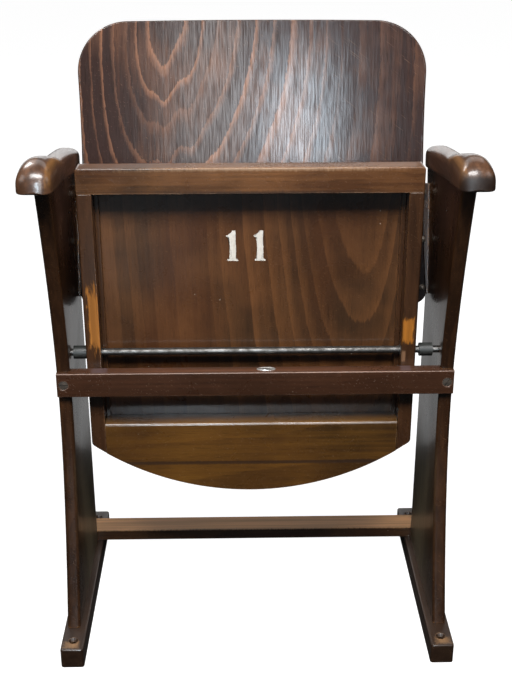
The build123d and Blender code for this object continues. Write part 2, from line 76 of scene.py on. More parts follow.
lens = bpy.data.cameras.new("camera")
lens.sensor_width = sensor
lens.lens = photo_focal_pixels * sensor / photo_height_pixels
camera = bpy.data.objects.new("camera", lens)
turn = Matrix((camera_right, camera_up, -forward)).transposed().to_4x4()
camera.matrix_world = Matrix.Translation(camera_place) @ turn
bpy.context.scene.collection.objects.link(camera)
bpy.context.scene.camera = camera
print("lens:", round(lens.lens, 2), "mm")

# %% [markdown]
# ## Light and floor
#
# A large soft light stands high in front of the chair and throws the short dark shadows under the
# seat's front rail and under the crossbar.  A weaker one near the camera gives the soft vertical
# sheen on the bent back.  Glossy dark wood mirrors its surroundings, so the room itself is kept dim:
# the floor and the room look pale to the camera, and are darker for everything else.

# %% Light and floor
scene = bpy.context.scene
scene.view_settings.view_transform = "Standard"


def soft_light(name, place, target, width, height, watts, colour=(1, 1, 1)):
    """A rectangular light of the given size that faces the target."""
    data = bpy.data.lights.new(name, "AREA")
    data.shape = "RECTANGLE"
    data.size, data.size_y = width, height
    data.energy = watts
    data.color = colour
    lamp = bpy.data.objects.new(name, data)
    lamp.location = place
    lamp.rotation_euler = (Vector(target) - Vector(place)).to_track_quat("-Z", "Y").to_euler()
    lamp.visible_camera = False
    scene.collection.objects.link(lamp)
    return lamp


def add(tree, kind, links=None, **settings):
    """A new shader node with its settings; links maps input names to values or to other sockets."""
    made = tree.nodes.new("ShaderNode" + kind)
    for setting, value in settings.items():
        setattr(made, setting, value)
    for socket, value in (links or {}).items():
        if isinstance(value, bpy.types.NodeSocket):
            tree.links.new(value, made.inputs[socket])
        else:
            made.inputs[socket].default_value = value
    return made


soft_light("key_light", (-0.1, -1.55, 2.75), (0, 0, 0.5), 1.4, 0.8, 98)
soft_light("left_fill", (-2.3, -1.2, 2.3), (0, 0, 0.45), 1.4, 1.2, 16)
soft_light("right_fill", (2.3, -1.2, 2.3), (0, 0, 0.45), 1.4, 1.2, 16)
soft_light("rear_high", (0.0, 1.7, 2.5), (0, 0, 0.7), 3.2, 1.5, 18)
mirrored = [
    soft_light("sheen_light", (-0.21, -2.6, 1.25), (0, 0, 0.7), 0.36, 1.1, 33.5, (0.85, 1.0, 1.12)),
    soft_light("flame_sheen", (0.28, -2.6, 1.62), (0, 0, 0.7), 0.40, 1.9, 21),
    soft_light("left_arm_light", (-0.95, 0.79, 2.08), (-0.27, -0.15, 0.7), 0.6, 0.6, 20),
    soft_light("floor_bounce", (-0.34, -1.60, 0.02), (-0.34, -1.55, 1.0), 0.4, 0.5, 0.43),
    soft_light("rear_wall", (0.0, 0.46, 0.16), (0, 0, 0.16), 2.4, 0.32, 0.85),
    soft_light("rear_band", (0.0, 2.3, 0.80), (0, 0, 0.75), 3.6, 0.7, 9),
]
for lamp in mirrored:
    lamp.visible_diffuse = False

room = bpy.data.worlds.new("room")
room.use_nodes = True
room_tree = room.node_tree
room_tree.nodes.clear()
seen = add(room_tree, "LightPath").outputs["Is Camera Ray"]
dim = add(room_tree, "Background", {"Color": (0.8, 0.85, 0.9, 1), "Strength": 0.02})
pale = add(room_tree, "Background", {"Color": (1, 1, 1, 1), "Strength": 1.3})
both = add(room_tree, "MixShader", {0: seen, 1: dim.outputs[0], 2: pale.outputs[0]})
add(room_tree, "OutputWorld", {"Surface": both.outputs[0]})
scene.world = room

floor_mesh = bpy.data.meshes.new("floor")
half = 12.0
floor_mesh.from_pydata(
    [(-half, -half, -0.0004), (half, -half, -0.0004), (half, half, -0.0004), (-half, half, -0.0004)],
    [],
    [(0, 1, 2, 3)],
)
floor = bpy.data.objects.new("floor", floor_mesh)
scene.collection.objects.link(floor)
floor_paint = bpy.data.materials.new("floor_paint")
floor_paint.use_nodes = True
floor_tree = floor_paint.node_tree
floor_tree.nodes.clear()
floor_seen = add(floor_tree, "LightPath").outputs["Is Camera Ray"]
floor_grey = add(floor_tree, "BsdfDiffuse", {"Color": (0.03, 0.029, 0.028, 1)})
floor_pale = add(floor_tree, "BsdfDiffuse", {"Color": (0.35, 0.35, 0.35, 1)})
floor_glow = add(floor_tree, "Emission", {"Color": (1, 1, 1, 1), "Strength": 0.97})
floor_lit = add(floor_tree, "AddShader", {0: floor_pale.outputs[0], 1: floor_glow.outputs[0]})
floor_both = add(floor_tree, "MixShader", {0: floor_seen, 1: floor_grey.outputs[0], 2: floor_lit.outputs[0]})
add(floor_tree, "OutputMaterial", {"Surface": floor_both.outputs[0]})
floor_mesh.materials.append(floor_paint)

# %% [markdown]
# ## Effects that the finishes share
#
# Dark stained beech shows three things: broad figure where the saw or the peeling knife cut across
# the growth rings, short fine pores along the grain, and lighter wood along every edge that hands and
# shoes have rubbed.  Each is a node group with its own inputs, so a material only chooses values.

# %% Node helpers


def calc(tree, operation, *values):
    """One Math node's result."""
    return add(tree, "Math", dict(enumerate(values)), operation=operation).outputs[0]


def vector_calc(tree, operation, *values):
    """One Vector Math node; gives the vector, or the number for lengths and products."""
    made = add(tree, "VectorMath", dict(enumerate(values)), operation=operation)
    return made.outputs["Value" if operation in ("LENGTH", "DOT_PRODUCT", "DISTANCE") else "Vector"]


def remap(tree, value, low, high, to_low=0.0, to_high=1.0, smooth=False):
    """Stretch a value from one range to another and keep it inside."""
    made = add(tree, "MapRange", {"Value": value, 1: low, 2: high, 3: to_low, 4: to_high})
    made.interpolation_type = "SMOOTHSTEP" if smooth else "LINEAR"
    return made.outputs[0]


def blend(tree, factor, first, second, kind="MIX"):
    """Mix two colours."""
    made = tree.nodes.new("ShaderNodeMix")
    made.data_type = "RGBA"
    made.blend_type = kind
    for socket, value in ((0, factor), (6, first), (7, second)):
        if isinstance(value, bpy.types.NodeSocket):
            tree.links.new(value, made.inputs[socket])
        else:
            made.inputs[socket].default_value = value
    return made.outputs[2]


def noise(tree, vector, scale, detail=3.0, roughness=0.55, distortion=0.0):
    """A Noise texture's grey value."""
    links = {"Vector": vector, "Scale": scale, "Detail": detail, "Roughness": roughness, "Distortion": distortion}
    return add(tree, "TexNoise", links).outputs["Fac"]


def stretched(tree, vector, factors):
    """The vector with each axis multiplied: small factors draw a pattern out along that axis."""
    return vector_calc(tree, "MULTIPLY", vector, factors)


def new_group(name, inputs, outputs):
    """An empty node group; inputs are (name, type, value) and outputs (name, type)."""
    group = bpy.data.node_groups.new(name, "ShaderNodeTree")
    for label, kind, value in inputs:
        socket = group.interface.new_socket(label, in_out="INPUT", socket_type="NodeSocket" + kind)
        if value is not None:
            socket.default_value = value
    for label, kind in outputs:
        group.interface.new_socket(label, in_out="OUTPUT", socket_type="NodeSocket" + kind)
    return group, group.nodes.new("NodeGroupInput").outputs, group.nodes.new("NodeGroupOutput").inputs


def use_group(tree, group, links):
    """Place a node group in a material and give it its values."""
    made = tree.nodes.new("ShaderNodeGroup")
    made.node_tree = group
    for socket, value in links.items():
        if isinstance(value, bpy.types.NodeSocket):
            tree.links.new(value, made.inputs[socket])
        else:
            made.inputs[socket].default_value = value
    return made.outputs


# %% [markdown]
# ### Figure
#
# A tree's rings are cylinders about its pith.  A board's face cuts them at a slant, and the cuts show
# as flames: nested arches.  The group measures each point's distance from a leaning pith line, bends
# it with noise, and counts rings.  The grain runs along Z.

# %% Figure
figure, given, result = new_group(
    "Wood Figure",
    [
        ("Vector", "Vector", None),
        ("Centre", "Float", 0.0),
        ("Depth", "Float", 0.3),
        ("Lean", "Float", 0.3),
        ("Right Share", "Float", 1.0),
        ("Lobes", "Float", 0.0),
        ("Ring Width", "Float", 0.012),
        ("Start", "Float", 0.0),
        ("Core", "Float", 0.0),
        ("Waviness", "Float", 0.02),
        ("Ragged", "Float", 0.3),
        ("Band", "Float", 0.6),
        ("Spread", "Float", 0.4),
    ],
    [("Ring", "Float"), ("Tone", "Float")],
)
wobble = add(figure, "TexNoise", {"Vector": stretched(figure, given["Vector"], (1, 1, 0.45)), "Scale": 9.0, "Detail": 2.0})
wobble = vector_calc(figure, "SUBTRACT", wobble.outputs["Color"], (0.5, 0.5, 0.5))
bent = vector_calc(figure, "SCALE", wobble)
figure.links.new(given["Waviness"], bent.node.inputs["Scale"])
bent = vector_calc(figure, "ADD", given["Vector"], bent)
parts = add(figure, "SeparateXYZ", {0: bent}).outputs
across = calc(figure, "SUBTRACT", parts[0], given["Centre"])
right_side = calc(figure, "MULTIPLY", calc(figure, "MAXIMUM", across, 0.0), calc(figure, "SUBTRACT", 1.0, given["Right Share"]))
across = calc(figure, "SUBTRACT", across, right_side)
lobe = calc(figure, "COSINE", calc(figure, "MULTIPLY", across, 2 * pi / 0.026))
near = calc(figure, "POWER", calc(figure, "SUBTRACT", across, 0.013), 2.0)
near = calc(figure, "EXPONENT", calc(figure, "MULTIPLY", near, -1100.0))
lobe = calc(figure, "MULTIPLY", calc(figure, "MULTIPLY", lobe, near), given["Lobes"])
into = calc(figure, "ADD", given["Depth"], calc(figure, "MULTIPLY", parts[2], given["Lean"]))
into = calc(figure, "SUBTRACT", calc(figure, "ADD", into, parts[1]), lobe)
from_pith = calc(
    figure, "SQRT", calc(figure, "ADD", calc(figure, "POWER", across, 2.0), calc(figure, "POWER", into, 2.0))
)
ring_count = calc(figure, "ADD", calc(figure, "DIVIDE", from_pith, given["Ring Width"]), given["Start"])
uneven = add(figure, "TexNoise", {"W": ring_count, "Scale": 0.4, "Detail": 1.0}, noise_dimensions="1D").outputs["Fac"]
torn = noise(figure, stretched(figure, given["Vector"], (330, 330, 9)), 1.0, 3.0, 0.65)
torn = calc(figure, "MULTIPLY", calc(figure, "SUBTRACT", torn, 0.5), given["Ragged"])
ring_count = calc(figure, "ADD", calc(figure, "ADD", ring_count, calc(figure, "MULTIPLY", calc(figure, "SUBTRACT", uneven, 0.5), 0.9)), torn)
ring_place = calc(figure, "FRACT", ring_count)
ring_number = calc(figure, "FLOOR", ring_count)
year = add(figure, "TexWhiteNoise", {"W": ring_number}, noise_dimensions="1D").outputs["Value"]
next_year = add(figure, "TexWhiteNoise", {"W": calc(figure, "ADD", ring_number, 31.7)}, noise_dimensions="1D").outputs["Value"]
rise = remap(figure, ring_place, 0.0, 0.06, smooth=True)
fall = add(figure, "MapRange", {"Value": ring_place, 1: 0.08, 2: given["Band"], 3: 1.0, 4: 0.0}).outputs[0]
bright = calc(figure, "MULTIPLY", calc(figure, "MULTIPLY", rise, fall), remap(figure, year, 0.0, 1.0, 0.25, 1.0))
bright = calc(figure, "MULTIPLY", bright, calc(figure, "GREATER_THAN", from_pith, given["Core"]))
far = calc(figure, "DIVIDE", calc(figure, "ABSOLUTE", across), given["Spread"])
bright = calc(figure, "MULTIPLY", bright, remap(figure, far, 0.5, 1.0, 1.0, 0.2, smooth=True))
figure.links.new(bright, result["Ring"])
figure.links.new(next_year, result["Tone"])

# %% [markdown]
# ### Pores
#
# Beech has fine pores and short ray flecks, a few millimetres long.  Noise that is stretched along
# the grain gives both, at two sizes.

# %% Pores
pores, given, result = new_group(
    "Wood Pores", [("Vector", "Vector", None), ("Amount", "Float", 0.5)], [("Pore", "Float"), ("Streak", "Float")]
)
fine = noise(pores, stretched(pores, given["Vector"], (1500, 1500, 60)), 1.0, 2.0)
fleck = noise(pores, stretched(pores, given["Vector"], (520, 520, 42)), 1.0, 1.0)
fine = remap(pores, fine, 0.56, 0.70)
fleck = remap(pores, fleck, 0.60, 0.72)
pore = calc(pores, "MULTIPLY", calc(pores, "MAXIMUM", fine, fleck), given["Amount"])
pores.links.new(pore, result["Pore"])
pores.links.new(noise(pores, stretched(pores, given["Vector"], (160, 160, 3.5)), 1.0, 4.0), result["Streak"])

# %% [markdown]
# ### Worn edges
#
# The Bevel node rounds the normal near an edge.  Where the rounded normal differs from the true one,
# there is an edge, and noise breaks the wear up.

# %% Worn edges
worn_edges, given, result = new_group(
    "Worn Edges",
    [("Vector", "Vector", None), ("Reach", "Float", 0.002), ("Amount", "Float", 0.7)],
    [("Mask", "Float")],
)
rounded = add(worn_edges, "Bevel", {"Radius": given["Reach"]}, samples=6).outputs[0]
plain = add(worn_edges, "NewGeometry").outputs["Normal"]
turned = calc(worn_edges, "SUBTRACT", 1.0, vector_calc(worn_edges, "DOT_PRODUCT", rounded, plain))
edge = remap(worn_edges, turned, 0.015, 0.16)
chips = noise(worn_edges, given["Vector"], 55.0, 4.0, 0.65)
edge = calc(worn_edges, "MULTIPLY", edge, remap(worn_edges, chips, 0.36, 0.62))
worn_edges.links.new(calc(worn_edges, "MULTIPLY", edge, given["Amount"]), result["Mask"])

# %% [markdown]
# ### Specks
#
# Tiny pale chips and splashes dot the dark varnish.  A Voronoi texture puts one point in each cell,
# and white noise keeps only a few of the cells.

# %% Specks
specks, given, result = new_group(
    "Pale Specks", [("Vector", "Vector", None), ("Scale", "Float", 60.0), ("Share", "Float", 0.08)], [("Mask", "Float")]
)
cells = add(specks, "TexVoronoi", {"Vector": given["Vector"], "Scale": given["Scale"]}).outputs
chance = add(specks, "SeparateColor", {0: cells["Color"]}).outputs
size = calc(specks, "MULTIPLY", chance[1], 0.075)
dot = add(specks, "MapRange", {"Value": cells["Distance"], 1: size, 2: calc(specks, "MULTIPLY", size, 0.5), 3: 0.0, 4: 1.0})
kept = calc(specks, "LESS_THAN", chance[0], given["Share"])
specks.links.new(calc(specks, "MULTIPLY", dot.outputs[0], kept), result["Mask"])

# %% [markdown]
# ### Patches of wear, painted shade and painted light
#
# Where the seat lands and where feet scrape, the varnish is gone in a ragged patch.  The same patch
# also paints shade, dark where shade falls, and light, paler where a sheen shows.  The group gives a
# soft box around a place, with an outline torn by noise.

# %% Patches of wear, shade and light
wear_shade_light_patch, given, result = new_group(
    "Wear Shade Light Patch",
    [
        ("Vector", "Vector", None),
        ("Place", "Vector", None),
        ("Half Size", "Vector", (0.01, 0.01, 0.01)),
        ("Ragged", "Float", 0.5),
        ("Softness", "Float", 0.3),
    ],
    [("Mask", "Float")],
)
away = vector_calc(wear_shade_light_patch, "SUBTRACT", given["Vector"], given["Place"])
away = vector_calc(wear_shade_light_patch, "ABSOLUTE", vector_calc(wear_shade_light_patch, "DIVIDE", away, given["Half Size"]))
sides = add(wear_shade_light_patch, "SeparateXYZ", {0: away}).outputs
furthest = calc(wear_shade_light_patch, "MAXIMUM", calc(wear_shade_light_patch, "MAXIMUM", sides[0], sides[1]), sides[2])
torn = calc(wear_shade_light_patch, "SUBTRACT", noise(wear_shade_light_patch, stretched(wear_shade_light_patch, given["Vector"], (330, 330, 60)), 1.0, 5.0, 0.7), 0.5)
furthest = calc(wear_shade_light_patch, "ADD", furthest, calc(wear_shade_light_patch, "MULTIPLY", torn, given["Ragged"]))
soft_from = calc(wear_shade_light_patch, "SUBTRACT", 1.0, given["Softness"])
patch = add(wear_shade_light_patch, "MapRange", {"Value": furthest, 1: soft_from, 2: 1.0, 3: 1.0, 4: 0.0})
patch.interpolation_type = "SMOOTHSTEP"
wear_shade_light_patch.links.new(patch.outputs[0], result["Mask"])

# %% [markdown]
# ### Old varnish
#
# Brushed varnish is glossy but not even: hands leave duller smears, dust leaves specks, and shoes
# leave fine scratches.

# %% Old varnish
varnish, given, result = new_group(
    "Old Varnish",
    [("Vector", "Vector", None), ("Gloss", "Float", 0.25), ("Unevenness", "Float", 0.12), ("Scratches", "Float", 0.5)],
    [("Roughness", "Float"), ("Height", "Float"), ("Scratch", "Float")],
)
smears = noise(varnish, given["Vector"], 14.0, 5.0, 0.6, 0.6)
dust = remap(varnish, noise(varnish, given["Vector"], 900.0, 1.0), 0.68, 0.74)
tilted = add(varnish, "Mapping", {"Vector": given["Vector"], "Rotation": (0.5, 0.9, 0.3)}).outputs[0]
scratch = noise(varnish, stretched(varnish, tilted, (900, 900, 9)), 1.0, 1.0)
scratch = calc(varnish, "MULTIPLY", remap(varnish, scratch, 0.69, 0.74), given["Scratches"])
rough = calc(varnish, "MULTIPLY", calc(varnish, "SUBTRACT", smears, 0.5), given["Unevenness"])
rough = calc(varnish, "ADD", calc(varnish, "ADD", rough, given["Gloss"]), calc(varnish, "MULTIPLY", scratch, 0.2))
varnish.links.new(rough, result["Roughness"])
brush = noise(varnish, stretched(varnish, given["Vector"], (90, 90, 6)), 1.0, 3.0)
height = calc(varnish, "SUBTRACT", calc(varnish, "ADD", brush, calc(varnish, "MULTIPLY", dust, 0.4)), scratch)
varnish.links.new(height, result["Height"])
varnish.links.new(scratch, result["Scratch"])
print("shared effects:", [group.name for group in bpy.data.node_groups])

# %% [markdown]
# ## Stained beech
#
# One function builds each wood finish from the shared effects: dark stain, figure, pores, worn edges,
# rubbed patches, and varnish over all.  The grain's direction is a turn of the coordinates.

# %% Stained beech
along_x, along_y, along_z = (0, radians(90), 0), (radians(90), 0, 0), (0, 0, 0)


def dimmed(colour, share):
    """A colour at a share of its brightness."""
    return tuple(share * value for value in colour[:3]) + (1,)


def stained_beech(
    name,
    dark,
    light,
    grain=along_z,
    figure_values=None,
    figure_strength=0.35,
    blush=None,
    blush_scale=5.0,
    pore_strength=0.5,
    gloss=0.28,
    edge_colour=(0.34, 0.16, 0.06, 1),
    edge_reach=0.0022,
    edge_amount=0.6,
    patches=(),
    scratches=0.4,
    speck_share=0.06,
    coat=0.45,
    layers=None,
    bump_strength=0.22,
    coat_roughness=0.14,
    streaky=0.3,
    streak_scale=(430, 430, 14),
    mottled=1.0,
    streaked=1.0,
    specular=0.3,
    fibre=None,
):
    """Stained and varnished wood.  patches: (place, half size, ragged, softness, strength, colour), for worn spots, for
    painted shade and for painted light.
    """
    material = bpy.data.materials.new(name)
    material.use_nodes = True
    tree = material.node_tree
    tree.nodes.clear()
    place = add(tree, "TexCoord").outputs["Object"]
    turned = add(tree, "Mapping", {"Vector": place, "Rotation": grain}).outputs[0]
    along = add(tree, "Mapping", {"Vector": place, "Rotation": fibre or grain}).outputs[0]

    values = {"Vector": turned, "Centre": 0.0, "Depth": 0.4, "Lean": 0.1, "Ring Width": 0.016, "Waviness": 0.03}
    rings = use_group(tree, figure, {**values, **(figure_values or {})})
    grains = use_group(tree, pores, {"Vector": along, "Amount": pore_strength})
    clouds = noise(tree, place, 7.0, 3.0)
    tone = calc(tree, "MULTIPLY", rings["Ring"], figure_strength)
    tone = calc(tree, "ADD", tone, remap(tree, clouds, 0.3, 0.7, -0.12 * mottled, 0.22 * mottled))
    tone = calc(tree, "ADD", tone, remap(tree, grains["Streak"], 0.3, 0.7, -0.10 * streaked, 0.22 * streaked))
    year = calc(tree, "MULTIPLY", calc(tree, "SUBTRACT", rings["Tone"], 0.5), 0.5 * figure_strength)
    tone = calc(tree, "ADD", tone, year)
    if blush:
        wide = noise(tree, stretched(tree, turned, (1, 1, 0.5)), blush_scale, 2.0)
        dark = blend(tree, remap(tree, wide, 0.42, 0.60), (*dark, 1), (*blush, 1))
    else:
        dark = (*dark, 1)
    colour = blend(tree, tone, dark, (*light, 1))
    pore_colour = blend(tree, 0.55, colour, (0.004, 0.002, 0.001, 1))
    colour = blend(tree, grains["Pore"], colour, pore_colour)
    if layers:
        colour = layers(tree, place, colour)

    edges = use_group(tree, worn_edges, {"Vector": place, "Reach": edge_reach, "Amount": edge_amount})
    colour = blend(tree, edges["Mask"], colour, edge_colour)
    brushed = noise(tree, stretched(tree, along, streak_scale), 1.0, 2.0, 0.6)
    brushed = calc(tree, "MULTIPLY", remap(tree, brushed, 0.36, 0.64, 1.0 - streaky, 1.0 + 0.6 * streaky), coat)
    coated = calc(tree, "SUBTRACT", brushed, calc(tree, "MULTIPLY", edges["Mask"], 0.3))
    old = use_group(tree, varnish, {"Vector": place, "Gloss": gloss, "Scratches": scratches})
    colour = blend(tree, calc(tree, "MULTIPLY", old["Scratch"], 0.5), colour, edge_colour)
    roughness = old["Roughness"]
    for where, half_size, ragged, softness, strength, patch_colour in patches:
        values = {"Vector": place, "Place": where, "Half Size": half_size, "Ragged": ragged, "Softness": softness}
        mask = calc(tree, "MULTIPLY", use_group(tree, wear_shade_light_patch, values)["Mask"], strength)
        lines = remap(tree, grains["Streak"], 0.35, 0.65)
        colour = blend(tree, mask, colour, blend(tree, lines, dimmed(patch_colour, 0.6), patch_colour))
        roughness = calc(tree, "ADD", roughness, calc(tree, "MULTIPLY", mask, 0.12))
        coated = calc(tree, "SUBTRACT", coated, calc(tree, "MULTIPLY", mask, 0.8))
    chips = use_group(tree, specks, {"Vector": place, "Share": speck_share})["Mask"]
    colour = blend(tree, chips, colour, (0.55, 0.45, 0.36, 1))

    relief = calc(tree, "SUBTRACT", calc(tree, "MULTIPLY", old["Height"], 0.5), calc(tree, "MULTIPLY", grains["Pore"], 0.6))
    bump = add(tree, "Bump", {"Strength": bump_strength, "Distance": 0.0004, "Height": relief})
    surface = add(
        tree,
        "BsdfPrincipled",
        {
            "Base Color": colour,
            "Roughness": roughness,
            "Specular IOR Level": specular,
            "Coat Weight": add(tree, "Clamp", {"Value": coated}).outputs[0],
            "Coat Roughness": coat_roughness,
            "Normal": bump.outputs[0],
        },
    )
    add(tree, "OutputMaterial", {"Surface": surface.outputs[0]})
    return material


# %% [markdown]
# ### Veneers
#
# The back and the seat are plywood.  On their faces only the outer veneer shows, but their edges show
# every layer.  The layer is the depth below the face: for the flat seat that is the distance along Y,
# and for the bent back the distance from the axis that it was bent about.

# %% Veneers
veneer_inner, veneer_dark = (0.30, 0.16, 0.085, 1), (0.06, 0.028, 0.014, 1)


def layered(tree, depth, thickness, colour, veneers):
    """Colour by the depth below the face: the outer veneers keep theirs, the inner ones alternate."""
    share = calc(tree, "DIVIDE", depth, thickness)
    within = calc(tree, "MULTIPLY", calc(tree, "GREATER_THAN", share, 0.16), calc(tree, "LESS_THAN", share, 0.84))
    odd = calc(tree, "GREATER_THAN", calc(tree, "FRACT", calc(tree, "MULTIPLY", share, veneers / 2)), 0.5)
    return blend(tree, within, colour, blend(tree, odd, veneer_inner, veneer_dark))


def seat_layers(tree, place, colour):
    """The flat seat's layers, counted back from its underside."""
    depth = calc(tree, "ADD", add(tree, "SeparateXYZ", {0: place}).outputs[1], 0.0192)
    return layered(tree, depth, 0.0085, colour, 5)


def back_layers(tree, place, colour):
    """The bent back's layers: distance from the bend axis, less the bend radius of 0.9 m."""
    lean = radians(15)
    turned = vector_calc(tree, "SUBTRACT", place, (0, 0.0595, 0.450))
    turned = add(tree, "VectorRotate", {"Vector": turned, "Angle": lean}, rotation_type="X_AXIS").outputs[0]
    turned = vector_calc(tree, "MULTIPLY", vector_calc(tree, "ADD", turned, (0, 0.8641, 0)), (1, 1, 0))
    depth = calc(tree, "SUBTRACT", vector_calc(tree, "LENGTH", turned), 0.9)
    return layered(tree, depth, 0.010, colour, 7)


# %% [markdown]
# ### The finish of each board
#
# The frame is walnut brown.  The rails of the seat are warmer.  The seat's underside has a figure of
# nested arrowheads near its right side, and the back has long flames that open upwards, with orange
# late wood.  The stiles are rubbed down to orange beech where they land on the crossbar.  Some patches
# are painted shade, near black where shade falls, and some are painted light, paler where a sheen shows.

# %% Board finishes
walnut_dark, walnut_light = (0.027, 0.0110, 0.0045), (0.118, 0.050, 0.020)
bare_beech = (0.62, 0.24, 0.045, 1)
frame_finish = stained_beech(
    "frame_stain",
    walnut_dark,
    walnut_light,
    figure_values={"Ring Width": 0.02},
    figure_strength=0.25,
    edge_colour=(0.45, 0.22, 0.09, 1),
    edge_reach=0.003,
    edge_amount=0.95,
    # painted light: the lower inner faces of the side panels are painted paler and greyer than the stain
    patches=[
        ((side * 0.2538, 0.09, 0.13), (0.003, 0.20, 0.17), 0.5, 0.8, 0.85, (0.20, 0.165, 0.10, 1)) for side in (-1, 1)
    ],
)
foot_finish = stained_beech(
    "foot_stain",
    (0.022, 0.010, 0.005),
    (0.075, 0.040, 0.022),
    grain=along_y,
    figure_strength=0.2,
    gloss=0.36,
    edge_colour=(0.42, 0.25, 0.13, 1),
    edge_amount=0.9,
    patches=[
        ((-0.2625, -0.172, 0.031), (0.014, 0.010, 0.004), 0.9, 0.7, 0.75, (0.40, 0.22, 0.10, 1)),
        ((0.2625, -0.172, 0.031), (0.014, 0.010, 0.004), 0.9, 0.7, 0.6, (0.40, 0.22, 0.10, 1)),
    ],
)
crossbar_finish = stained_beech(
    "crossbar_stain",
    (0.048, 0.019, 0.009),
    (0.140, 0.056, 0.028),
    grain=along_x,
    figure_strength=0.2,
    edge_colour=(0.60, 0.40, 0.30, 1),
    edge_amount=0.95,
    patches=[
        ((0.0, -0.062, 0.4025), (0.27, 0.012, 0.003), 1.2, 0.9, 0.35, (0.30, 0.12, 0.06, 1)),
        # a pale line along the top front edge: worn edge, with a painted highlight
        ((0.0, -0.0695, 0.402), (0.40, 0.0013, 0.0013), 0.7, 0.5, 0.5, (0.60, 0.42, 0.34, 1)),
        ((-0.214, -0.057, 0.4025), (0.013, 0.012, 0.003), 0.5, 0.4, 0.7, (0.13, 0.085, 0.085, 1)),
        ((0.206, -0.057, 0.4025), (0.009, 0.012, 0.003), 0.5, 0.4, 0.7, (0.13, 0.085, 0.085, 1)),
    ],
)
stretcher_finish = stained_beech(
    "stretcher_stain",
    (0.046, 0.019, 0.007),
    (0.20, 0.088, 0.032),
    grain=along_x,
    figure_strength=0.25,
    gloss=0.42,
    coat=0.25,
    edge_colour=(0.45, 0.27, 0.17, 1),
    edge_amount=0.8,
    # the stretcher's top: worn, and also painted light, paler than worn wood because little light reaches it under the
    # seat
    patches=[((0.0, 0.113, 0.0485), (0.60, 0.032, 0.003), 1.2, 0.5, 0.95, (0.72, 0.36, 0.14, 1))],
)
rail_finish = stained_beech(
    "rail_stain",
    (0.026, 0.013, 0.006),
    (0.28, 0.122, 0.044),
    grain=along_x,
    figure_values={"Ring Width": 0.016, "Band": 0.9, "Ragged": 0.5},
    figure_strength=0.45,
    blush=(0.092, 0.036, 0.013),
    blush_scale=9.0,
    edge_colour=(0.62, 0.40, 0.26, 1),
    edge_reach=0.003,
    edge_amount=1.0,
    patches=[
        # the top front edge: worn, and painted paler still as a painted sheen on the rail's top
        ((0.0, -0.0492, 0.680), (0.225, 0.003, 0.0035), 1.6, 1.0, 0.8, (0.48, 0.29, 0.16, 1)),
        # painted shade: a near-black band along the lower edge of the rail's front face
        ((0.0, -0.0492, 0.6485), (0.225, 0.003, 0.005), 1.2, 1.0, 0.75, (0.022, 0.011, 0.006, 1)),
    ],
    speck_share=0.3,
    mottled=2.8,
    streaked=1.6,
)
rear_rail_finish = stained_beech(
    "rear_rail_stain",
    (0.042, 0.020, 0.006),
    (0.27, 0.118, 0.018),
    grain=along_x,
    figure_values={"Ring Width": 0.02, "Band": 0.9, "Ragged": 0.4},
    figure_strength=0.3,
    blush=(0.10, 0.042, 0.010),
    blush_scale=6.0,
    edge_colour=(0.50, 0.33, 0.20, 1),
    edge_amount=0.9,
    # painted shade: the top of the rear rail, under the crossbar, painted dark
    patches=[((0.0, -0.044, 0.2515), (0.40, 0.030, 0.0035), 0.6, 0.6, 0.75, (0.050, 0.026, 0.016, 1))],
    speck_share=0.2,
    mottled=1.6,
    streaked=0.9,
)
stile_finish = stained_beech(
    "stile_stain",
    (0.042, 0.018, 0.008),
    (0.150, 0.062, 0.024),
    figure_strength=0.2,
    patches=[
        ((-0.2175, -0.0495, 0.474), (0.0098, 0.005, 0.052), 1.5, 0.35, 1.0, bare_beech),
        ((0.2075, -0.0495, 0.453), (0.0098, 0.005, 0.021), 1.3, 0.35, 0.95, (0.55, 0.20, 0.025, 1)),
        ((0.203, -0.0495, 0.416), (0.004, 0.004, 0.010), 0.8, 0.4, 0.6, (0.40, 0.22, 0.12, 1)),
    ],
)
underside_finish = stained_beech(
    "seat_ply_stain",
    (0.058, 0.028, 0.013),
    (0.24, 0.098, 0.034),
    figure_values={
        "Centre": 0.150,
        "Depth": 0.193,
        "Lean": -0.20,
        "Right Share": 1.5,
        "Ring Width": -0.0155,
        "Start": 0.33,
        "Waviness": 0.012,
        "Ragged": 0.25,
        "Band": 0.7,
        "Spread": 0.24,
    },
    figure_strength=0.46,
    mottled=2.0,
    streaked=0.45,
    blush=(0.086, 0.033, 0.013),
    blush_scale=7.0,
    speck_share=0.14,
    layers=seat_layers,
)
back_finish = stained_beech(
    "back_ply_stain",
    (0.036, 0.0172, 0.0135),
    (0.33, 0.150, 0.082),
    figure_values={
        "Centre": -0.128,
        "Depth": 0.3265,
        "Lean": -0.6206,
        "Right Share": 0.62,
        "Lobes": 0.0025,
        "Ring Width": 0.0155,
        "Start": 0.72,
        "Core": 0.015,
        "Waviness": 0.010,
        "Ragged": 0.3,
        "Band": 0.36,
        "Spread": 0.2,
    },
    figure_strength=0.7,
    mottled=1.3,
    streaked=0.5,
    pore_strength=0.8,
    gloss=0.34,
    edge_colour=(0.42, 0.24, 0.15, 1),
    speck_share=0.03,
    coat=0.6,
    layers=back_layers,
    # painted shade: the back's lower corners beside the side panels, painted near black
    patches=[
        ((side * 0.245, 0.100, 0.535), (0.034, 0.070, 0.115), 0.3, 0.5, 0.95, (0.010, 0.005, 0.004, 1)) for side in (-1, 1)
    ],
    bump_strength=0.2,
    coat_roughness=0.18,
    streaky=0.7,
    streak_scale=(700, 700, 32),
    specular=0.05,
    fibre=(radians(15), 0, 0),
)
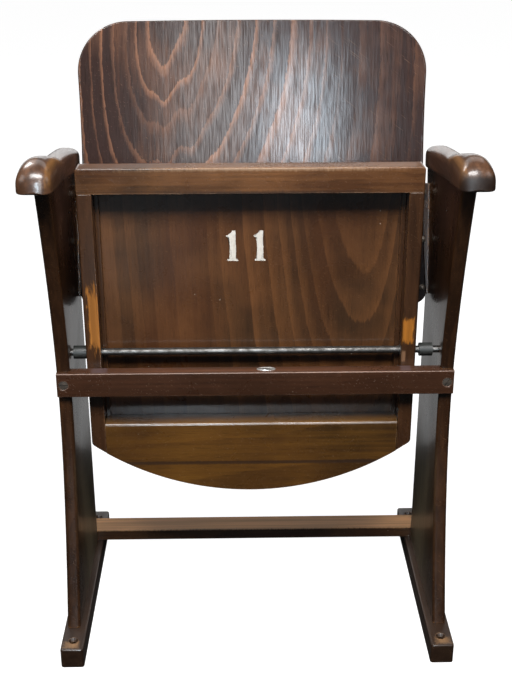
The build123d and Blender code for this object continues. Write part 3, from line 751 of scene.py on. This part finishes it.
arm_finish = stained_beech(
    "armrest_stain",
    (0.068, 0.031, 0.016),
    (0.30, 0.14, 0.072),
    grain=along_y,
    figure_strength=0.2,
    gloss=0.34,
    edge_amount=0.3,
    coat=0.7,
    coat_roughness=0.17,
    patches=[
        ((-0.2505, -0.09, 0.705), (0.005, 0.10, 0.03), 0.9, 0.9, 0.6, (0.42, 0.19, 0.045, 1)),
        ((0.2505, -0.09, 0.705), (0.005, 0.10, 0.03), 0.9, 0.9, 0.5, (0.42, 0.19, 0.045, 1)),
        # painted shade: the lower front of the right armrest's nose, painted near black
        ((0.272, -0.160, 0.682), (0.045, 0.024, 0.019), 0.4, 0.5, 0.95, (0.020, 0.010, 0.006, 1)),
    ],
)
print("wood finishes:", [material.name for material in bpy.data.materials if "stain" in material.name])

# %% [markdown]
# ## Metal
#
# The rod is bright drawn steel with a dull film, the sleeves are dark painted tube, and the screws
# have gone nearly black.

# %% Metal


def old_metal(name, colour, rough, spots, metallic=1.0, film=(0.03, 0.025, 0.02, 1), axis=along_x):
    """Metal with drawn lines along it and a dark film in spots."""
    material = bpy.data.materials.new(name)
    material.use_nodes = True
    tree = material.node_tree
    tree.nodes.clear()
    place = add(tree, "TexCoord").outputs["Object"]
    turned = add(tree, "Mapping", {"Vector": place, "Rotation": axis}).outputs[0]
    lines = noise(tree, stretched(tree, turned, (1800, 1800, 25)), 1.0, 2.0)
    blotch = remap(tree, noise(tree, place, 120.0, 5.0, 0.65), 0.42, 0.62)
    mask = calc(tree, "MULTIPLY", blotch, spots)
    base = blend(tree, mask, colour, film)
    roughness = calc(tree, "ADD", remap(tree, lines, 0.3, 0.7, rough - 0.06, rough + 0.08), calc(tree, "MULTIPLY", mask, 0.25))
    bump = add(tree, "Bump", {"Strength": 0.15, "Distance": 0.0002, "Height": lines})
    links = {"Base Color": base, "Roughness": roughness, "Metallic": metallic, "Normal": bump.outputs[0]}
    surface = add(tree, "BsdfPrincipled", links)
    add(tree, "OutputMaterial", {"Surface": surface.outputs[0]})
    return material


rod_finish = old_metal("rod_steel", (0.11, 0.105, 0.10, 1), 0.38, 0.6)
sleeve_finish = old_metal("sleeve_paint", (0.020, 0.022, 0.020, 1), 0.42, 0.4, metallic=0.0, film=(0.06, 0.06, 0.055, 1))
screw_finish = old_metal("screw_steel", (0.10, 0.075, 0.055, 1), 0.5, 0.7, metallic=0.3)
bush_finish = old_metal("bush_steel", (0.28, 0.27, 0.26, 1), 0.4, 0.5)

# %% [markdown]
# ## Boards
#
# The boards keep the solids' shapes.  A solid arrives as loose triangles, so a copy is sewn together,
# its flat faces are joined again, and a narrow bevel softens its sharp edges, because no old edge is
# sharp and a softened edge catches the light.  The bent back gets no bevel: it is cut into narrow strips
# and its points are pushed out to its true radii, which also give its normals.

# %% Boards
finish_of_slot = {
    "frame_wood": frame_finish,
    "armrest_wood": arm_finish,
    "backrest_wood": back_finish,
    "seat_plywood": underside_finish,
    "seat_wood": stile_finish,
    "dowel_wood": frame_finish,
    "screw_steel": screw_finish,
    "rod_steel": rod_finish,
    "sleeve_paint": sleeve_finish,
    "bush_steel": bush_finish,
}
slot_of_node = {row["node"]: row["material_slot"] for row in frame["record"]["subparts"]}
body_of_node = {node: body for body, members in frame["record"]["behaviour"]["bodies"].items() for node in members}


def seat_in_place(piece, node, finish):
    """Let a finished piece ride with its solid's body and stand for the solid, which is hidden, with its own finish."""
    scene.collection.objects.link(piece)
    piece.data.materials.clear()
    piece.data.materials.append(finish)
    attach(piece, body_of_node[node])
    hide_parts(node)
    return piece


def turn_cuts(work):
    """Cut the bent back along its bend axis at every degree, so that its faces are even narrow strips."""
    on_axis = Vector((0, 0.0595 - 0.8641 * cos(radians(15)), 0.450 + 0.8641 * sin(radians(15))))
    for angle in np.radians(np.arange(-17.5, 18)):
        across = (cos(angle), -sin(angle) * cos(radians(15)), sin(angle) * sin(radians(15)))
        parts = work.verts[:] + work.edges[:] + work.faces[:]
        bmesh.ops.bisect_plane(work, geom=parts, dist=6e-4, plane_co=on_axis, plane_no=across)


def true_radius(mesh):
    """Push the points of the bent back out to its radii, 0.9 m in front and 0.91 m behind.

    Gives a normal for every point on those two faces, and zeros for the points of the rounded edge.
    """
    points = np.empty(len(mesh.vertices) * 3)
    mesh.vertices.foreach_get("co", points)
    points = points.reshape(-1, 3)
    lean = np.array(((1, 0, 0), (0, cos(radians(15)), -sin(radians(15))), (0, sin(radians(15)), cos(radians(15)))))
    start = np.array((0, 0.0595, 0.450))
    local = (points - start) @ lean.T + (0, 0.8641, 0)
    radius = np.hypot(local[:, 0], local[:, 1])
    wanted = np.where(np.abs(radius - 0.9) < 4e-4, 0.9, np.where(np.abs(radius - 0.91) < 4e-4, 0.91, radius))
    local[:, :2] *= (wanted / radius)[:, None]
    points = (local - (0, 0.8641, 0)) @ lean + start
    mesh.vertices.foreach_set("co", points.ravel())
    mesh.update()
    outward = np.where(np.abs(wanted - 0.9) < 1e-6, -1.0, np.where(np.abs(wanted - 0.91) < 1e-6, 1.0, 0.0))
    return (local * (1, 1, 0) / wanted[:, None] * outward[:, None]) @ lean


def softened_board(node, finish, bevel=0.0007):
    """A sewn copy of a solid with its flat faces joined and its sharp edges bevelled; the bent back gets true normals
    and no bevel.
    """
    mesh = nodes[node].data.copy()
    mesh.name = node + "_board"
    work = bmesh.new()
    work.from_mesh(mesh)
    bmesh.ops.remove_doubles(work, verts=work.verts, dist=2e-6)
    bmesh.ops.dissolve_limit(work, angle_limit=radians(0.5), verts=work.verts, edges=work.edges)
    if node == "backrest_shell":
        turn_cuts(work)
    work.to_mesh(mesh)
    work.free()
    normals = true_radius(mesh) if node == "backrest_shell" else None
    for old in ("custom_normal", "sharp_edge"):
        if old in mesh.attributes:
            mesh.attributes.remove(mesh.attributes[old])
    mesh.shade_smooth()
    mesh.set_sharp_from_angle(angle=radians(35))
    piece = bpy.data.objects.new(node + "_board", mesh)
    if normals is not None:
        mesh.normals_split_custom_set_from_vertices(normals.tolist())
        return seat_in_place(piece, node, finish)
    soften = piece.modifiers.new("soften", "BEVEL")
    soften.width = bevel
    soften.segments = 2
    soften.limit_method = "ANGLE"
    soften.angle_limit = radians(50)
    soften.use_clamp_overlap = False
    soften.harden_normals = True
    return seat_in_place(piece, node, finish)


board_finish = {
    "left_foot": foot_finish,
    "right_foot": foot_finish,
    "left_side_panel": frame_finish,
    "right_side_panel": frame_finish,
    "front_crossbar": crossbar_finish,
    "rear_stretcher": stretcher_finish,
    "left_back_batten": frame_finish,
    "right_back_batten": frame_finish,
    "backrest_shell": back_finish,
    "seat_front_rail": rail_finish,
    "seat_rear_rail": rear_rail_finish,
    "left_seat_stile": stile_finish,
    "right_seat_stile": stile_finish,
    "left_seat_cleat": stile_finish,
    "right_seat_cleat": stile_finish,
    "seat_panel": underside_finish,
}
boards = {node: softened_board(node, finish) for node, finish in board_finish.items()}
for node, thing in nodes.items():
    if node not in board_finish:
        thing.data.materials.clear()
        thing.data.materials.append(finish_of_slot[slot_of_node[node]])
print("boards:", len(boards))

# %% [markdown]
# ## Surfaces from numpy
#
# The next pieces are rows of points.  Each row is one closed section, all rows have the same number of
# points, and neighbouring rows are joined by quads.  A row may shrink to a line or to a point, which
# closes the end, and the doubled points there are merged afterwards.

# %% Row surfaces


def smooth_step(value, low, high):
    """0 below low, 1 above high, and a smooth S between: t*t*(3 - 2t)."""
    t = np.clip((value - low) / (high - low), 0, 1)
    return t * t * (3 - 2 * t)


def row_faces(rows, columns, start=0):
    """Quads between neighbouring rows of closed sections."""
    down, round_ = np.arange(rows - 1)[:, None], np.arange(columns)[None, :]
    after = (round_ + 1) % columns
    corners = (down * columns + round_, down * columns + after, (down + 1) * columns + after, (down + 1) * columns + round_)
    return np.stack(corners, -1).reshape(-1, 4) + start


def piece_from_rows(name, sets_of_rows, sharp=40):
    """One closed mesh from arrays of points shaped (rows, columns, 3)."""
    points, faces, start = [], [], 0
    for rows in sets_of_rows:
        points.append(rows.reshape(-1, 3))
        faces.append(row_faces(rows.shape[0], rows.shape[1], start))
        start += rows.shape[0] * rows.shape[1]
    mesh = bpy.data.meshes.new(name)
    mesh.from_pydata(np.concatenate(points).tolist(), [], np.concatenate(faces).tolist())
    work = bmesh.new()
    work.from_mesh(mesh)
    bmesh.ops.remove_doubles(work, verts=work.verts, dist=1e-6)
    bmesh.ops.dissolve_degenerate(work, edges=work.edges, dist=1e-7)
    bmesh.ops.recalc_face_normals(work, faces=work.faces)
    work.to_mesh(mesh)
    work.free()
    mesh.shade_smooth()
    mesh.set_sharp_from_angle(angle=radians(sharp))
    return bpy.data.objects.new(name, mesh)


# %% [markdown]
# ## Armrests
#
# The real armrests were carved: a blunt round nose that the hand wraps, a saddle for the forearm and a
# smaller lobe behind, all domed above and flat below.  Here each cross-section is made of quarter
# superellipses, |x/a|^n + |z/b|^n = 1.  A high n gives the nearly square bottom corners, and a low n the
# dome.  Towards each end the section shrinks along superellipses too, which makes the blunt nose.

# %% Armrests
arm_length, arm_pitch, arm_middle = 0.291, radians(8.4), 0.268
arm_start = Vector((0, -0.1535, 0.677))


def swell(along, front, waist, rear):
    """A size that eases from the front lobe to the waist and on to the rear lobe."""
    return front + (waist - front) * smooth_step(along, 0.046, 0.150) + (rear - waist) * smooth_step(along, 0.150, 0.240)


def blunt(distance, reach, power):
    """0 at an end and 1 from reach inwards: (1 - (1 - d/reach)^power)^(1/power)."""
    left = np.clip(1 - distance / reach, 0, 1)
    return (1 - left**power) ** (1 / power)


def armrest_rows(side):
    """Sections along the armrest; across is towards the outside of the chair for side = 1 or -1."""
    ends = 1 - np.cos(np.linspace(0, pi / 2, 26))
    along = np.concatenate([ends * 0.045, np.linspace(0.045, arm_length - 0.035, 60)[1:-1], arm_length - ends[::-1] * 0.035])
    width = swell(along, 0.0445, 0.0355, 0.041) / 2
    height = swell(along, 0.0418, 0.0318, 0.0322)
    width = width * blunt(along, 0.013, 2.4) * blunt(arm_length - along, 0.016, 2.2)
    nose = 0.20 + 0.80 * blunt(along, 0.038, 2.1)
    tail = 0.30 + 0.70 * blunt(arm_length - along, 0.024, 2.0)
    height = height * nose * tail
    lift = 0.0035 * (2 - blunt(along, 0.0035, 2) - blunt(arm_length - along, 0.0035, 2))

    angle = np.linspace(0, 2 * pi, 96, endpoint=False)[None, :]
    c, s_ = np.cos(angle), np.sin(angle)
    outer, upper = c >= 0, s_ >= 0
    behind_nose = smooth_step(along, 0.030, 0.080)[:, None]
    power = np.where(upper, np.where(outer, 2.25, 2.3 + 0.8 * behind_nose), 9.0)
    belt = np.where(outer, 0.32, 0.34 + 0.18 * behind_nose)
    across = width[:, None] * np.sign(c) * np.abs(c) ** (2 / power)
    rise = np.abs(s_) ** (2 / power)
    h = height[:, None]
    up = np.where(upper, belt * h + (1 - belt) * h * rise, belt * h * (1 - rise))
    up = np.maximum(up, lift[:, None])
    x = side * (arm_middle + across)
    y = arm_start.y + along[:, None] * cos(arm_pitch) + up * sin(arm_pitch)
    z = arm_start.z - along[:, None] * sin(arm_pitch) + up * cos(arm_pitch)
    return np.stack(np.broadcast_arrays(x, y, z), -1)


armrests = {}
for name, side in (("left", -1), ("right", 1)):
    carved = piece_from_rows(name + "_armrest_carved", [armrest_rows(side)], sharp=60)
    armrests[name] = seat_in_place(carved, name + "_armrest", arm_finish)
    print(name, "armrest faces:", len(carved.data.polygons))

# %% [markdown]
# ## Slotted screws
#
# A slot is hard to cut into a round grid, because its straight sides cross the rings.  So every ring is
# divided at the two angles where the slot's sides meet it, asin(half the slot's width / radius).  The
# slot's sides are then straight edges of the mesh, and the columns between them are sunk.

# %% Slotted screws


def slotted_screw(head, shank, length, dome, slot_depth, slot_half, round_head=False):
    """Rows from the middle of the head to the tip; the head's rim lies at z = 0 and the tip below."""
    slot_part, land_part = np.linspace(-1, 1, 3), np.linspace(0, 1, 13)
    radii = np.array([1e-5, slot_half, head * 0.35, head * 0.6, head * 0.8, head * 0.93, head])
    reach = np.arcsin(np.clip(slot_half / radii, 0, 1))[:, None]
    angle = np.concatenate(
        [
            reach * slot_part,
            reach + (pi - 2 * reach) * land_part,
            pi + reach * slot_part,
            pi + reach + (pi - 2 * reach) * land_part,
        ],
        1,
    )
    sunk = np.array(([True] * 3 + [False] * 13) * 2)
    r = np.repeat(radii[:, None], len(sunk), 1)
    z = dome * (1 - (r / head) ** 2)
    floor_level = dome - slot_depth
    z = np.where(sunk, np.minimum(z, floor_level), z)
    r = np.where((z < 0) & (r > head - slot_depth), head + z, r)
    top = np.stack([r * np.cos(angle), r * np.sin(angle), z], -1)
    neck = 0.0 if round_head else -(head - shank)
    last = angle[-1]
    below = [(shank, neck), (shank, -length), (1e-5, -length)]
    lower = [np.stack([q * np.cos(last), q * np.sin(last), np.full(len(last), d)], -1) for q, d in below]
    return np.concatenate([top, np.stack(lower)])


def screws(node, blank, places, finish, turn=0.0):
    """Copies of one screw at places (point, direction of the head), in one mesh."""
    sets_of_rows = []
    for number, (point, out) in enumerate(places):
        facing = Vector(out).to_track_quat("Z", "Y").to_matrix() @ Matrix.Rotation(turn + 0.9 * number, 3, "Z")
        sets_of_rows.append(blank @ np.array(facing).T + np.array(point))
    piece = piece_from_rows(node + "_slotted", sets_of_rows, sharp=30)
    return seat_in_place(piece, node, finish)


panel_middle = 0.26315
crossbar_places = [((side * panel_middle, -0.0687, 0.3845), (0, -1, 0)) for side in (-1, 1)]
crossbar_blank = slotted_screw(0.0065, 0.0025, 0.042, 0.0005, 0.0012, 0.0007)
screws("crossbar_screws", crossbar_blank, crossbar_places, screw_finish, turn=0.05)

stretcher_places = [((side * panel_middle, 0.113 + step, 0.048), (0, 0, 1)) for side in (-1, 1) for step in (-0.009, 0.009)]
screws("stretcher_screws", slotted_screw(0.005, 0.0025, 0.034, 0.0002, 0.0009, 0.0006), stretcher_places, screw_finish)

lean, screw_turn = radians(15), asin(0.244 / 0.9)
back_places = []
for side in (-1, 1):
    for height in (0.024, 0.094, 0.162):
        depth = 0.9 * cos(screw_turn) - 0.8641
        point = (side * 0.244, 0.0595 + depth * cos(lean) + height * sin(lean), 0.450 - depth * sin(lean) + height * cos(lean))
        out = (-side * sin(screw_turn), -cos(screw_turn) * cos(lean), cos(screw_turn) * sin(lean))
        back_places.append((point, out))
back_blank = slotted_screw(0.0045, 0.00175, 0.020, 0.0025, 0.0011, 0.0005, round_head=True)
screws("back_screws", back_blank, back_places, screw_finish)

seat_places = [
    ((-0.00575 + side * 0.21625, -0.0107, height), (0, 1, 0)) for side in (-1, 1) for height in (0.350, 0.4804, 0.5995)
] + [((-0.00575 + x, -0.0107, height), (0, 1, 0)) for x in (-0.15, 0, 0.15) for height in (0.267, 0.65775)]
seat_blank = slotted_screw(0.0035, 0.00175, 0.0235, 0.0002, 0.0008, 0.00045)
screws("seat_screws", seat_blank, seat_places, screw_finish)
print("slotted screws:", 2 + 4 + 6 + 12)

# %% [markdown]
# ## Numerals
#
# Seats in a row are numbered.  Two plain ones were painted through a stencil onto the underside, so
# they face the aisle while the seat is tipped up.  Each is one outline of straight and bent runs.
# Its edges are divided finely and pushed in and out a little, because paint creeps under a stencil.

# %% Numerals
stroke = np.array(
    [(245, 100), (205, 103), (195, 120), (160, 145), (128, 165), (140, 180), (165, 185), (172, 290), (168, 435), (145, 445)]
    + [(143, 462), (275, 465), (275, 450), (245, 435), (248, 290), (243, 240)],
    float,
)
stroke = (stroke - (208, 465)) * (0.000112, -0.0001185)


def divided(outline, step):
    """The closed outline with points at most a step apart, laid evenly along every edge."""
    after = np.roll(outline, -1, 0)
    counts = np.ceil(np.linalg.norm(after - outline, axis=1) / step).astype(int)
    edge = np.repeat(np.arange(len(outline)), counts)
    share = (np.arange(len(edge)) - np.repeat(np.cumsum(counts) - counts, counts)) / counts[edge]
    return outline[edge] + (after - outline)[edge] * share[:, None]


def painted(name, centres, base, face_y, creep, thickness, seed):
    """Flat painted shapes with crept edges, as thin slabs that lie on the board."""
    dice = np.random.default_rng(seed)
    work = bmesh.new()
    for centre in centres:
        line = divided(stroke, 0.0007)
        line = line + dice.normal(0, creep, line.shape) + np.array((centre, base))
        front = [work.verts.new((x, face_y - thickness, z)) for x, z in line]
        back = [work.verts.new((x, face_y + thickness, z)) for x, z in line]
        work.faces.new(front)
        work.faces.new(back[::-1])
        for index in range(len(front)):
            following = (index + 1) % len(front)
            work.faces.new((front[index], back[index], back[following], front[following]))
    bmesh.ops.triangulate(work, faces=work.faces)
    bmesh.ops.recalc_face_normals(work, faces=work.faces)
    mesh = bpy.data.meshes.new(name)
    work.to_mesh(mesh)
    work.free()
    return bpy.data.objects.new(name, mesh)


numeral_paint = bpy.data.materials.new("numeral_paint")
numeral_paint.use_nodes = True
paint_tree = numeral_paint.node_tree
paint_tree.nodes.clear()
paint_place = add(paint_tree, "TexCoord").outputs["Object"]
paint_grain = use_group(paint_tree, pores, {"Vector": paint_place, "Amount": 0.5})
paint_cloud = noise(paint_tree, paint_place, 160.0, 4.0)
paint_colour = blend(paint_tree, remap(paint_tree, paint_cloud, 0.35, 0.7), (0.97, 0.93, 0.85, 1), (0.84, 0.78, 0.69, 1))
paint_colour = blend(paint_tree, calc(paint_tree, "MULTIPLY", paint_grain["Pore"], 0.5), paint_colour, (0.3, 0.22, 0.15, 1))
paint_bump = add(paint_tree, "Bump", {"Strength": 0.3, "Distance": 0.0003, "Height": paint_cloud})
paint_links = {"Base Color": paint_colour, "Roughness": remap(paint_tree, paint_cloud, 0.3, 0.7, 0.45, 0.65)}
paint_surface = add(paint_tree, "BsdfPrincipled", {**paint_links, "Normal": paint_bump.outputs[0]})
add(paint_tree, "OutputMaterial", {"Surface": paint_surface.outputs[0]})

numerals = painted("seat_numerals", (-0.0299, 0.0070), 0.5456, -0.0192, 0.00018, 0.00012, seed=11)
scene.collection.objects.link(numerals)
numerals.data.materials.append(numeral_paint)
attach(numerals, "seat")
print("numeral faces:", len(numerals.data.polygons))

# %% [markdown]
# ## Row plate
#
# A small oval of bright metal is let onto the top of the crossbar.  It stays bare here.  Its face is a
# shallow dish inside a rounded rim: rows of ellipses that change their height.

# %% Row plate
plate_shares = np.array([0.0005, 0.4, 0.78, 0.86, 0.93, 0.985, 1.0, 1.0, 0.0005])
plate_heights = np.array([0.45, 0.45, 0.50, 0.85, 0.95, 0.75, 0.45, -0.1, -0.1]) * 1e-3
plate_angle = np.linspace(0, 2 * pi, 64, endpoint=False)
plate_rows = np.stack(
    np.broadcast_arrays(
        0.0146 + 0.0135 * plate_shares[:, None] * np.cos(plate_angle),
        -0.0580 + 0.0056 * plate_shares[:, None] * np.sin(plate_angle),
        0.402 + plate_heights[:, None],
    ),
    -1,
)
plate = piece_from_rows("row_plate", [plate_rows], sharp=50)
scene.collection.objects.link(plate)
plate_finish = old_metal("plate_metal", (0.82, 0.81, 0.78, 1), 0.32, 0.25, film=(0.25, 0.2, 0.16, 1))
plate.data.materials.append(plate_finish)
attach(plate, "frame")
print("row plate:", [round(1000 * size, 1) for size in plate.dimensions])
